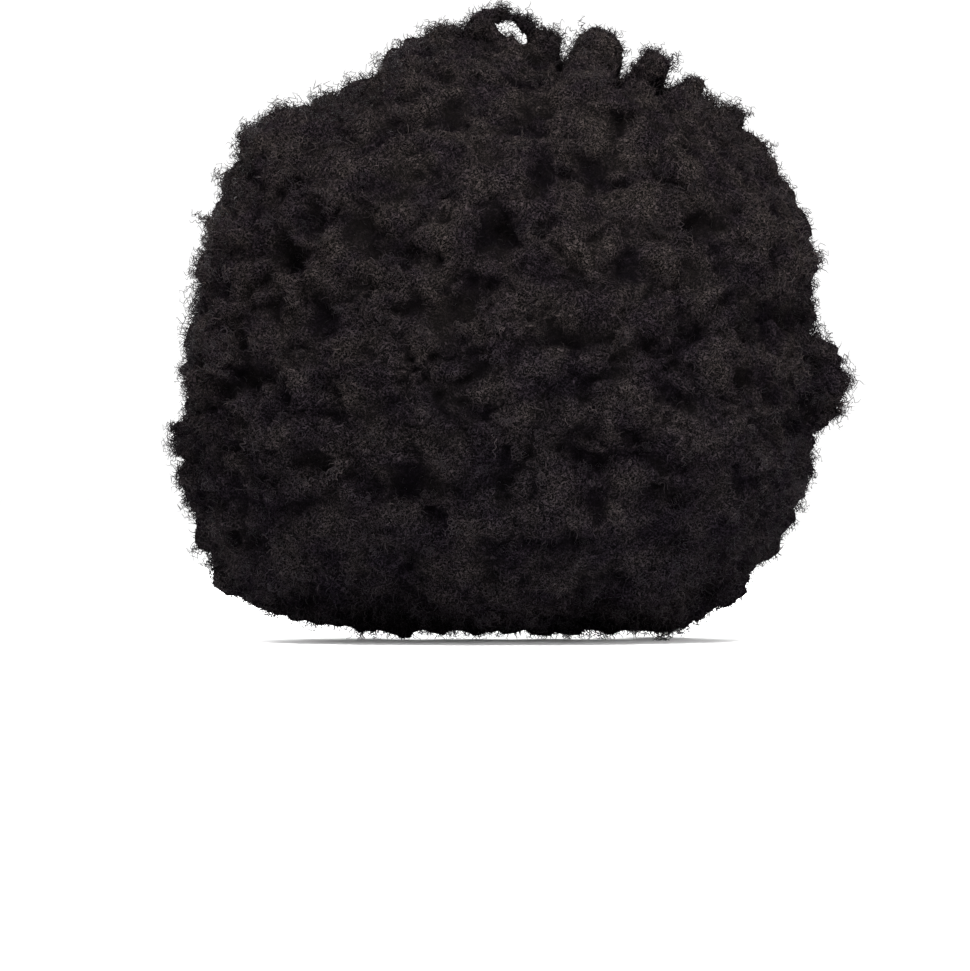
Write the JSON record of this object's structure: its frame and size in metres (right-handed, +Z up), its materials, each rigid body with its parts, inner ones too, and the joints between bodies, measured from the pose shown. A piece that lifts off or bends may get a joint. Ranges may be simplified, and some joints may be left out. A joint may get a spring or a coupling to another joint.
{
  "type": "afro wig",
  "caption": "Large round afro wig: teased curly hair in rows on a close stretch cap with an elastic edge.",
  "frame": {"origin": "inside top of the cap, where the crown of the wearer's head sits", "axes": "+Z up, +Y forwards out of the face opening, +X to the wearer's right"},
  "size_m": [0.421, 0.3524, 0.4073],
  "materials": {
    "hair": "matte frizzy synthetic hair fibre, near black",
    "cap_net": "matt black stretch net with sewn tracks",
    "edge_elastic": "matt black knitted elastic"
  },
  "bodies": {
    "root": {"cap": "cap_net", "edge_band": "edge_elastic", "crown_hair": "hair", "weft_7": "hair", "weft_6": "hair", "weft_5": "hair", "weft_4": "hair", "weft_3": "hair", "weft_2": "hair", "weft_1": "hair"}
  },
  "joints": []
}
